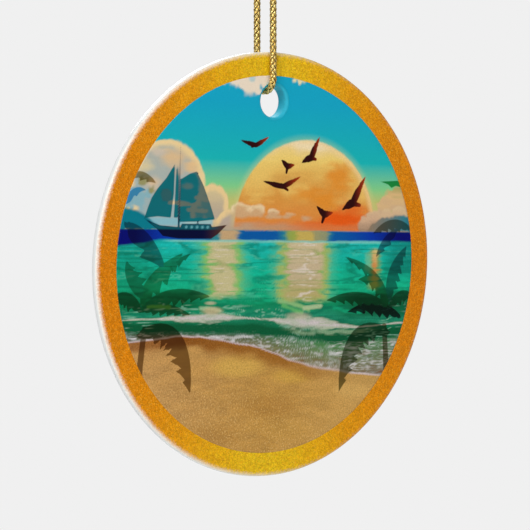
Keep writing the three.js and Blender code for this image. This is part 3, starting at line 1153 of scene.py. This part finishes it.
    def sea(self) -> None:
        """Paint the sea: rippled water, the sun's and ship's reflections, swell and the dark far band."""
        x, z = self.x, self.z
        ripple = 0.65 * self.noise(2.3, 0.42, 11) + 0.35 * self.noise(0.9, 0.3, 12)
        chop = self.noise(0.7, 0.45, 13)
        crease = 1 - fade(np.abs(self.noise(7.5, 0.62, 14) + 0.12 * chop), 0.0, 0.34)
        gleam = 1 - fade(np.abs(self.noise(5.5, 0.5, 15) + 0.15 * chop), 0.0, 0.2)
        below = 1 - fade(z, self.horizon - 0.12, self.horizon + 0.12)
        water = ramp(z + 0.5 * ripple, [-12, -9, -7, -4.5, -1, 4],
                     "#106040 #1C8060 #088054 #10A478 #0CA484 #14A8A0")
        water *= (1 + 0.2 * ripple[:, None] + 0.06 * chop[:, None])
        self.lay(water, below)
        self.lay("#02644A", crease * below * 0.6)
        self.lay("#5CC8A8", gleam * below * fade(z, -7, -4) * fade(self.noise(6, 2, 16), -0.2, 0.4) * 0.45)
        self.lay("#046E62", below * fade(x, 24.5, 29) * fade(z, -3.5, 0) * 0.65)
        self.lay("#045A36", below * (1 - fade(x, -29, -22)) * fade(z + ripple, -6, -3) * 0.35)
        self.lay("#024E2C", below * fade(x + 2 * ripple, 14, 20) * fade(z, -10, -8.5)
                 * (1 - fade(z, -5.8, -4.2)) * 0.75)
        self.lay("#015028", below * (1 - fade(x, -18, -11)) * fade(z, -8.6, -7) * (1 - fade(z, -5.2, -4.0))
                 * 0.6)
        # reflections: a cream core with yellow-green fringes, ragged by the ripples
        for cx, half, low, core, fringe, strength in (
                (7.6, 3.9, -6.2, "#BAAA8C", "#94A85C", 1.0), (-10.4, 2.5, -5.4, "#BBAE82", "#78AE5E", 0.95)):
            off = np.abs(x - cx - 0.25 * ripple) + 0.9 * ripple + 1.5 * crease - 0.7 + 0.25 * chop
            down = fade(z + 0.5 * ripple, low - 0.8, low + 0.8) * below * strength
            self.lay("#4FAE86", (1 - fade(off, half + 1.8, half + 4.0)) * down * 0.45)
            self.lay(fringe, (1 - fade(off, half + 0.2, half + 2.2)) * down)
            tone = ramp(z + ripple, [-6, -1, 4], "#A89C60 #B8A484 #BCAC84")
            self.lay(tone if cx > 0 else core, (1 - fade(off, half - 1.1, half + 0.5)) * down)
            self.lay("#D0C2B4", (1 - fade(off, half - 2.6, half - 0.8)) * down * gleam * 0.8)
            self.lay("#7E8C4C", (1 - fade(off, half - 1, half + 1)) * down * crease * 0.5)
        off = np.abs(x - 24.0) + 0.7 * ripple
        down = fade(z, -4.8, -3.6) * (1 - fade(z, 2.4, 3.2))
        self.lay("#7C9048", (1 - fade(off + crease, 0.8, 2.2)) * down * 0.8)
        self.lay(ramp(z + ripple, [-4, -0.5, 2.6], "#9CA050 #C87C3C #D0B878"),
                 (1 - fade(off + crease, 0.2, 1.1)) * down * 0.9)
        self.lay("#66B490", (1 - fade(np.abs(x - 22.3) + 0.5 * ripple, 0.3, 1.2)) * fade(z, -1.6, -.6)
                 * (1 - fade(z, 1.6, 2.6)) * 0.7)
        # swell strokes
        strokes = (((1.6, -6.2), (5, -6.6), (9, -7.9), "#86B072"),
                   ((2.6, -6.9), (5, -7.8), (7.4, -8.3), "#5CA860"),
                   ((7.4, -7.7), (9, -7.5), (11.6, -7.3), "#A0B488"),
                   ((-15.4, -7.6), (-13, -7.2), (-10.8, -7.9), "#8CB48A"),
                   ((-26.5, -7.2), (-24, -6.9), (-21.5, -7.3), "#4E9440"),
                   ((14.2, -7.4), (17, -8.4), (21, -8.3), "#0E9468"))
        for start, middle, end, code in strokes:
            share, off = nearest(x, z, bow(start, middle, end))
            self.lay(code, (1 - fade(np.abs(off) + 0.22 * ripple, 0.12, 0.5)) * fade(share, 0, 0.1) * 0.9)
        # far dark band and the warm gaps in it
        shelf = np.interp(x, [-33, -28, -24], [3.0, 3.5, 4.15])
        deep = np.clip((z + 0.12 * ripple - shelf + 0.15) / 0.35, 0, 1) * below
        self.lay(ramp(np.abs(x), [16, 23, 29], "#045094 #033098 #020864"), deep)
        for cx, half in ((-10.4, 4.6), (7.8, 7.0)):
            self.lay("#308480", deep * (1 - fade(np.abs(x - cx) + 0.7 * ripple, half - 2.6, half)) * 0.8)
        for cx, half, code in ((-9.2, 1.9, "#BE9A6C"), (7.8, 3.0, "#C0A24A"), (4.6, 1.2, "#8C9A42"),
                               (11.2, 1.6, "#8E8C64")):
            self.lay(code, deep * (1 - fade(np.abs(x - cx) + 0.7 * ripple, half - 0.7, half + 0.7)) * 0.92)
        line = np.abs(z - shelf + 0.12 + 0.08 * ripple)
        self.lay("#7CC0B4", (1 - fade(line, 0.1, 0.3)) * fade(x, -24, -20) * (1 - fade(x, 24, 28)) * 0.65)
        self.grain = np.where(z < self.horizon, 0.10, self.grain)

    def shore(self) -> None:
        """Paint the surf and the sand below the water's edge."""
        x, z = self.x, self.z
        spray = 0.6 * self.noise(1.1, 0.24, 21) + 0.4 * self.noise(2.4, 0.4, 22)
        broad = self.noise(3.2, 1.1, 23)
        foam = np.interp(x, [-31, -25, -18, -12, -5, 1, 5, 11, 16, 20, 25, 30],
                         [-9.3, -9.2, -9.1, -9.0, -9.2, -9.6, -10.0, -10.2, -10.7, -11.1, -10.8, -10.4])
        body = np.interp(x, [-31, -24, -18, -13, -9, -5, 0, 3, 7, 12, 17, 21, 25, 31],
                         [0.1, 0.2, 0.6, 0.95, 0.5, 0.14, 0.12, 0.6, 1.15, 1.0, 0.4, 0.2, 0.12, 0.2])
        dark = np.interp(x, [-31, -15, -5, 0, 7, 15, 23, 31],
                         [-10.6, -10.9, -11.0, -11.4, -12.1, -13.0, -12.7, -11.9])
        edge = np.interp(x, [-31, -25, -20, -15, -10, -5, -1, 2, 5, 8, 12, 16, 20, 25, 28],
                         [-13.2, -12.6, -12.1, -12.2, -13.0, -13.8, -14.6, -15.5,
                          -16.6, -17.3, -18.2, -18.6, -19.2, -19.6, -19.8]) + 0.15 * broad
        self.lay("#05502E", (1 - fade(np.abs(z - dark + 0.2 * broad), 0.5, 1.5)) * 0.95)
        self.lay("#0B6A44", (1 - fade(np.abs(z - dark - 1.1 + 0.3 * broad), 0.1, 0.6)) * 0.6)
        wash = 1 - np.clip((z + 0.35 * spray - dark + 1.3) / 0.8, 0, 1)
        tone = ramp(x, [-28, -6, 12, 28], "#3C5C44 #386048 #3C7C48 #48784E")
        deep = ramp(x, [-24, 4, 24], "#685E4C #80724E #80705C")
        share = np.clip((dark - 0.8 - z) / np.maximum(dark - 0.8 - edge, 0.4), 0, 1)[:, None]
        self.lay((tone * (1 - share) + deep * share) * (1 + 0.28 * spray[:, None]), wash)
        lace = 1 - fade(np.abs(self.noise(1.3, 0.26, 24) + 0.25 * spray), 0.02, 0.26)
        thread = 1 - fade(np.abs(self.noise(4.2, 0.42, 25) + 0.15 * spray), 0.0, 0.14)
        self.lay("#A2ACA8", wash * lace * 0.45)
        self.lay("#C8C4C6", wash * fade(spray, 0.3, 0.6) * 0.75)
        self.lay("#D8D2D4", wash * thread * 0.5)
        self.lay("#8CBCA4", (1 - fade(z, -7.2, -5.6)) * (1 - wash) * thread
                 * fade(self.noise(7, 2, 26), -.1, .5) * 0.6)
        self.lay("#7A4A22", wash * fade(-spray, 0.42, 0.65) * fade(x, -6, 2) * share[:, 0] * 0.7)
        crest = np.abs(z - foam) + 0.55 * spray * body
        self.lay("#AEB09C", (1 - fade(crest / np.maximum(body, 0.1), 0.55, 1.25)) * 0.9)
        self.lay("#C6B8BC", (1 - fade(crest / np.maximum(body, 0.1), 0.2, 0.7)) * fade(spray, -0.5, 0.2)
                 * 0.8)
        self.patch("#B8A47C", -12.4, -7.9, 3.0, 0.9, 0.75)
        self.patch("#C8B496", -12.8, -6.6, 1.6, 0.4, 0.6)
        self.patch("#B4A88E", 6.5, -8.9, 3.6, 0.8, 0.6)
        trail = np.abs(z - foam + 1.1 * body + 0.5) + 0.6 * spray
        self.lay("#8EA884", (1 - fade(trail, 0.1, 0.55)) * fade(x, 2, 8) * (1 - fade(x, 20, 26)) * 0.6)
        # sand
        depth = edge - z
        land = fade(depth, -0.12, 0.12)
        sand = ramp(x + 3 * broad, [-28, 0, 28], "#B48850 #B08440 #BC9250")
        self.lay(sand * (1 + 0.10 * broad[:, None] + 0.10 * spray[:, None]), land)
        self.patch("#C59C4A", -6.5, -17.6, 8.0, 2.6, 0.8)
        self.patch("#C0963F", 6.0, -19.4, 6.5, 1.8, 0.7)
        self.patch("#9E7032", 1.0, -24.6, 9.0, 2.6, 0.55)
        self.patch("#A07436", -12.0, -29.5, 9.0, 3.0, 0.45)
        self.patch("#C89E58", 19.5, -22.2, 5.5, 2.0, 0.7)
        self.patch("#B68A42", 5.0, -29.0, 7.0, 2.5, 0.5)
        wet = land * (1 - fade(depth + 0.5 * broad, 1.0, 2.9))
        self.lay(ramp(x, [-26, -18, 4, 20], "#8A5628 #7C440C #905C20 #B48C4C"), wet * 0.92)
        lip = 1 - fade(np.abs(depth - 0.02 + 0.05 * spray), 0.05, 0.22)
        self.lay("#C4B4B6", lip * 0.75)
        self.grain = np.where(depth > 0, 0.24, np.where(z < -9, 0.16, self.grain))
        self.glint = fade(depth, 1.0, 14.0) * 0.22 + 0.06 * land

    def ship(self) -> None:
        """Ink a two-masted sailing ship: hull, masts and full sails, lighter where the sky behind is."""
        x, z = self.x, self.z
        under = [(-26.4, 7.9), (-12.6, 7.9), (-12.8, 6.6), (-25.0, 6.6)]
        self.lay("#78B0BC", fade(panel(x, z, under), -0.2, 0.3) * 0.75)
        warm = np.clip((self.paint[:, :1] - self.paint[:, 2:] - 0.08) / 0.3, 0, 1)
        sail = linear("#0C666E") * (1 - 0.4 * warm) + linear("#86622C") * 0.4 * warm
        sail = sail * (0.45 + 1.3 * self.paint.mean(1, keepdims=True))
        fore_sail = [(-21.1, 17.0), (-22.8, 14.6), (-24.6, 12.8), (-25.8, 11.2), (-26.6, 9.4), (-27.2, 7.8),
                     (-24.4, 8.1), (-21.7, 7.9), (-21.2, 12.0)]
        main_sail = [(-19.8, 14.4), (-17.9, 15.4), (-16.4, 15.8), (-14.9, 13.4), (-13.4, 10.3),
                     (-12.3, 7.7), (-16.2, 7.3), (-19.8, 7.2)]
        stay_sail = [(-20.9, 16.0), (-20.45, 17.3), (-20.1, 14.0), (-20.1, 7.8), (-21.2, 7.8), (-21.0, 12.0)]
        for outline, inset in ((fore_sail, 0.0), (main_sail, 0.0), (stay_sail, 0.12)):
            self.stamp(sail, panel(x, z, outline) - inset)
        stern = fade(x, -15, -9.5)[:, None]
        dark = linear("#01062E") * (1 - stern) + linear("#4A2A1C") * stern
        for foot, top, half, taper in (((-20.0, 5.0), (-20.0, 20.0), 0.22, 0.16),
                                       ((-15.9, 5.0), (-16.2, 15.6), 0.16, 0.08)):
            share, off = nearest(x, z, np.array([foot, top]))
            self.stamp(dark, half - taper * share - np.abs(off))
        hull = [(-27.3, 7.7), (-24.6, 6.0), (-23.3, 4.8), (-20.0, 4.4), (-13.0, 4.4), (-11.6, 5.2),
                (-9.7, 6.8), (-12.9, 6.4), (-13.2, 6.9), (-19.4, 6.9), (-19.6, 6.3), (-24.0, 6.6)]
        self.stamp(dark, panel(x, z, hull))
        band = np.minimum(fade(z, 5.8, 6.1), fade(self.edge, 0, 0.1)) * (1 - fade(z, 7.0, 7.3))
        upper = (band * (1 - stern[:, 0]) * fade(x, -27, -25))[:, None]
        self.ink = self.ink + (linear("#0C5862") - self.ink) * upper * 0.8
        for port in range(5):
            round_light = 1 - fade(np.hypot(x + 18.4 - 1.15 * port, z - 6.35), 0.12, 0.36)
            self.ink = self.ink + (linear("#6CB4BC") - self.ink) * round_light[:, None] * 0.7

    def gulls(self) -> None:
        """Ink six gulls in black, warmer towards the sun."""
        flock = (Gull((-7.2, 21.4), (-1.0, 22.1), (-3.8, 20.6), (-4.7, 20.3), -0.1, 0.3),
                 Gull((6.5, 17.8), (10.4, 22.4), (8.6, 18.7), (9.6, 18.5), 0.3, 0.44),
                 Gull((1.9, 18.2), (4.9, 17.4), (3.3, 17.0), (3.1, 16.0), 0.15, 0.34),
                 Gull((-2.1, 14.5), (6.3, 15.4), (2.4, 13.6), (3.5, 13.0), -0.15, 0.34),
                 Gull((16.0, 9.7), (21.2, 15.7), (18.4, 10.9), (20.0, 10.6), 0.3, 0.52),
                 Gull((10.1, 10.3), (13.9, 9.2), (11.9, 8.7), (11.5, 7.5), 0.2, 0.4))
        for gull in flock:
            warm = fade(self.x, gull.body[0], gull.right[0] + 0.5)[:, None] * 0.85
            self.stamp(linear("#2A0606") * (1 - warm) + linear("#A83410") * warm, gull.inside(self.x, self.z))

    def palms(self) -> None:
        """Ink the two palms that lean in from the edges: trunks, then fronds hung with leaflets."""
        for x0, x1, side in ((-27.6, -26.6, 1), (27.4, 26.6, -1)):
            share, off = nearest(self.x, self.z, bow((x0, -19.8), (x0 + 0.4 * side, -15.0), (x1, -11.0)))
            self.stamp(self.paint * linear("#988C78"), 0.66 - 0.12 * share - np.abs(off))
        fronds = (
            Frond((-27.2, -11.4), (-17.6, -8.0), (-16.7, -21.9), 3.9, 8, -1, "#9C9078"),
            Frond((-27.3, -6.6), (-27.2, -2.6), (-19.0, 1.9), 3.2, 4, -1, "#B4B49A"),
            Frond((-27.2, -5.6), (-31.0, -2.2), (-30.6, 0.6), 3.0, 4, -1, "#ACB4A4"),
            Frond((-27.0, -7.2), (-21.0, -3.2), (-12.9, -5.5), 2.6, 7, -1, "#9C9E86"),
            Frond((-27.0, -7.6), (-22.0, -6.2), (-17.0, -8.6), 1.8, 6, -1, "#9C9A80"),
            Frond((-27.6, -7.4), (-31.0, -3.4), (-34.0, -6.6), 2.6, 5, 1, "#8C9480"),
            Frond((-30.4, 6.8), (-25.6, 4.6), (-22.5, -1.0), 3.4, 2, -1, "#96A0A8"),
            Frond((-23.0, -1.4), (-20.4, 0.8), (-17.3, 1.8), 1.2, 4, -1, "#8C9A80"),
            Frond((-30.2, 14.9), (-27.6, 16.0), (-24.9, 13.6), 1.3, 3, -1, "#A89C78"),
            Frond((-31.4, 10.2), (-29.4, 13.6), (-27.0, 12.4), 1.3, 2, -1, "#70BCE8"),
            Frond((27.0, -11.6), (17.4, -8.6), (16.4, -22.4), 3.8, 8, 1, "#888E7C"),
            Frond((27.4, -7.6), (21.0, -3.8), (12.9, -6.3), 2.3, 7, 1, "#7C8C78"),
            Frond((30.0, -9.0), (24.0, -5.6), (17.8, -8.4), 2.2, 6, 1, "#3C5058"),
            Frond((27.2, -7.0), (25.6, -1.0), (20.2, -2.6), 2.4, 4, 1, "#8C9C80"),
            Frond((27.0, -5.4), (24.6, -0.4), (17.0, 1.4), 1.6, 6, 1, "#8C9C88"),
            Frond((27.4, -6.0), (26.8, -0.6), (31.4, 3.4), 2.8, 6, -1, "#88A0A8"),
            Frond((27.8, -7.2), (30.4, -3.6), (34.0, -6.0), 2.2, 4, -1, "#849888"),
            Frond((31.8, 6.8), (27.4, 9.0), (23.4, 5.6), 2.0, 5, 1, "#A09C90"),
            Frond((28.6, 6.2), (25.4, 4.4), (24.2, 1.4), 1.7, 3, 1, "#8C98A8"),
        )
        for frond in fronds:
            self.stamp(self.paint * linear(frond.shade), frond.inside(self.x, self.z))
        blade = [(24.7, 14.9), (30.4, 15.2), (30.0, 13.9), (28.4, 14.2), (27.4, 13.8), (26.6, 14.4)]
        self.stamp(self.paint * linear("#40A868"), panel(self.x, self.z, blade))

    def draw(self) -> dict[str, np.ndarray]:
        """Paint the whole picture from back to front.

        Returns:
            The attributes that the print's material reads.
        """
        self.clouds_and_sun()
        self.sea()
        self.shore()
        self.ship()
        self.gulls()
        self.palms()
        return {"paint": np.clip(self.paint, 0, 1), "ink": np.clip(self.ink, 0, 1), "edge": self.edge,
                "grain": self.grain, "glint": self.glint}


@dataclass
class PictureCoat:
    """One face's printed picture: a thin round coat with a clear ring left for the hole."""

    plan: DiscPlan
    cells: int = 300          # across the coat
    hole_clear: float = 3.3   # mm

    def surface(self) -> tuple[np.ndarray, np.ndarray, np.ndarray]:
        """Round grid made from a square one.

        Each square ring becomes a circle: the larger of the two steps is the radius, and the smaller over the
        larger gives the angle within its quarter. The last ring drops to the blank as the coat's edge. Cells
        over the hole are left out, and the points round the gap move onto its circle.

        Returns:
            Places across and up in mm, and the faces, with unused points left out.
        """
        step = np.linspace(-1.0, 1.0, self.cells + 1)
        a, b = np.meshgrid(step, step, indexing="ij")
        wide = np.abs(a) >= np.abs(b)
        with np.errstate(divide="ignore", invalid="ignore"):
            angle = np.where(wide, math.pi / 4 * b / a, math.pi / 2 - math.pi / 4 * a / b)
        angle = np.nan_to_num(angle)
        radius = np.where(wide, a, b) * self.plan.picture_radius * self.cells / (self.cells - 2.0)
        radius = np.clip(radius, -self.plan.picture_radius - 0.01, self.plan.picture_radius + 0.01)
        x, z = (radius * np.cos(angle)).ravel(), (radius * np.sin(angle)).ravel()
        faces = grid_faces(self.cells + 1, self.cells + 1)
        from_hole = np.hypot(x, z - self.plan.hole_offset)
        gone = (from_hole[faces] < self.hole_clear - 0.02).any(1)
        rim = np.intersect1d(faces[gone], faces[~gone])
        rim = rim[from_hole[rim] < self.hole_clear + 0.6]
        scale = self.hole_clear / from_hole[rim]
        x[rim], z[rim] = x[rim] * scale, self.plan.hole_offset + (z[rim] - self.plan.hole_offset) * scale
        faces = faces[~gone]
        used, faces = np.unique(faces, return_inverse=True)
        return x[used], z[used], faces.reshape(-1, 4)

    def build(self, material: bpy.types.Material) -> None:
        """Print the picture on both faces.

        Args:
            material: the print's finish.
        """
        x, z, faces = self.surface()
        marks = SeasidePicture(x, z).draw()
        face = self.plan.thickness / 2
        edge = np.hypot(x, z) > self.plan.picture_radius + 0.005
        for side in Side:
            word = side.name.lower()
            y = side.value * np.where(edge, face, face + self.plan.coat)
            coat = make_piece(f"picture_{word}", self.plan.place(x, z, y, side), faces, marks,
                              material=material, slot="picture_print")
            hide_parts(f"{word}_picture_print")
            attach(coat, "disc")


@dataclass
class HoleLining:
    """The ink and gloss that run over the hole's two rounds and through it; the wall is inked lighter than
    the lip, as painted light against the shade in the hole.
    """

    plan: DiscPlan
    around: int = 96
    film: float = 0.02        # mm thick
    overlap: float = 0.08     # mm that its last ring reaches past the rounds
    lip: str = "#1E9CB4"
    # painted light: the wall's ink is lighter than the lip's, against the shade that falls in the hole
    wall: str = "#34A8BE"

    def build(self, material: bpy.types.Material) -> None:
        """Carry the wall's profile round the hole: a quarter round, the wall, a quarter round.

        Args:
            material: the print's finish.
        """
        p = self.plan
        face, arc = p.thickness / 2, np.linspace(0.0, math.pi / 2, 7)
        size = p.hole_round + self.film
        radius = p.hole_radius + p.hole_round - size * np.sin(arc)
        depth = face - p.hole_round + size * np.cos(arc)
        section = np.concatenate([np.stack([radius, -depth], -1), [(radius[-1], 0.0)],
                                  np.stack([radius, depth], -1)[::-1]])
        reach = p.hole_radius + p.hole_round + self.overlap
        section = np.vstack([[(reach, -face - self.film / 2)], section, [(reach, face + self.film / 2)]])
        angle = np.linspace(0.0, TAU, self.around, endpoint=False)[:, None]
        x = section[:, 0] * np.sin(angle)
        z = p.hole_offset + section[:, 0] * np.cos(angle)
        points = p.place(x, z, section[:, 1]).reshape(-1, 3)
        faces = grid_faces(self.around, len(section), close_rows=True)
        to_middle = points.mean(0) - points[faces[0, 0]]
        faces = faces if np.dot(facing(points, faces[0]), to_middle) > 0 else faces[:, ::-1]
        count = len(points)
        from_hole = np.hypot(x, z - p.hole_offset).ravel()
        # painted light: the ink goes lighter from the lip to the wall, where the hole is in shade
        inward = np.clip((p.hole_radius + p.hole_round - from_hole) / p.hole_round, 0, 1)
        tone = linear(self.lip) + (linear(self.wall) - linear(self.lip)) * inward[:, None]
        marks = {"paint": tone, "ink": tone, "edge": np.full(count, -99.0), "grain": np.full(count, 0.06),
                 "glint": np.zeros(count)}
        lining = make_piece("hole_lining", points, faces, marks, material=material, slot="picture_print")
        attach(lining, "disc")


@dataclass
class BorderCoat:
    """One face's glitter border: a thin ring from the picture to the rim, over the front edge's round."""

    plan: DiscPlan
    side: Side
    around: int = 720

    def section(self) -> np.ndarray:
        """Radius, y and bareness across the ring.

        The front ring lies flat to the edge's round and goes most of the way over it; the back ring stops at
        the bevel. Both end on the blank, so the coat has an edge.

        Returns:
            One row per station, from the inner edge outwards.
        """
        p, face = self.plan, self.plan.thickness / 2
        top = face + p.coat - 0.004
        outer = p.front_border if self.side is Side.FRONT else p.back_border
        flat = [(p.picture_radius - 0.02, face), (p.picture_radius, top)]
        flat += [(r, top) for r in np.linspace(p.picture_radius + 0.1, outer - 0.05, 14)]
        if self.side is Side.FRONT:
            bend = np.linspace(0.12, 1.15, 8)
            size = p.front_round + 0.07 - 0.055 * bend / 1.15
            flat += [(outer + s * math.sin(t), face - p.front_round + s * math.cos(t))
                     for s, t in zip(size, bend)]
        else:
            flat += [(outer, face + 0.02), (outer + 0.01, face)]
        rows = np.array(flat)
        arc = rows[:, 0] + (rows[:, 1].max() - rows[:, 1]) * (rows[:, 0] > outer - 0.1)
        reach = p.radius - 1.0 if self.side is Side.FRONT else outer - 0.4
        bare = np.clip((arc - reach) / 1.25, 0, 1.05)
        return np.column_stack([rows[:, 0], rows[:, 1] * self.side.value, bare])

    def build(self, material: bpy.types.Material) -> None:
        """Carry the section round the disc; it goes from orange at the sides to yellow at top and bottom.

        Args:
            material: the glitter print.
        """
        radius, y, bare = self.section().T
        angle = np.linspace(0.0, TAU, self.around, endpoint=False)[:, None]
        x, z = radius * np.sin(angle), radius * np.cos(angle)
        points = self.plan.place(x, z, y, self.side).reshape(-1, 3)
        faces = grid_faces(self.around, len(radius), close_rows=True)
        upright = np.abs(np.cos(angle + 0 * radius)).ravel()
        paint = ramp(upright, [0, 0.5, 0.72, 0.87, 0.965, 1],
                     "#C97400 #CC7C02 #D08604 #D49608 #D8AC10 #D8B818")
        bare = np.broadcast_to(bare, x.shape).ravel() * (0.35 + 0.65 * fade(-x.ravel(), -20, 15))
        marks = {"paint": paint, "bare": bare}
        word = self.side.name.lower()
        on_flat = faces[4]
        faces = faces if facing(points, on_flat)[1] * self.side.value > 0 else faces[:, ::-1]
        ring = make_piece(f"border_{word}", points, faces, marks, material=material, slot="border_print")
        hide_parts(f"{word}_border_print")
        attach(ring, "disc")


def main() -> None:
    """Build the studio, the cord, the blank and its prints."""
    logging.basicConfig(level=logging.INFO, format="%(name)s: %(message)s")
    low, high = (np.array(corner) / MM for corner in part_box("porcelain_disc"))
    plan = DiscPlan(centre=np.array([(low[0] + high[0]) / 2, 0.0, (low[2] + high[2]) / 2]))
    Studio().build(plan.centre + np.array([0.0, -plan.thickness / 2 - plan.coat, 0.0]))
    HangingCord(BraidedCord()).build(MetallicYarn().material())
    PorcelainBlank(plan).build(GlazedPorcelain().material())
    picture, glitter = PicturePrint().material(), GlitterPrint().material()
    PictureCoat(plan).build(picture)
    HoleLining(plan).build(PicturePrint(roughness=0.5, specular=0.05).material())
    for side in Side:
        BorderCoat(plan, side).build(glitter)


if __name__ == "__main__":
    main()
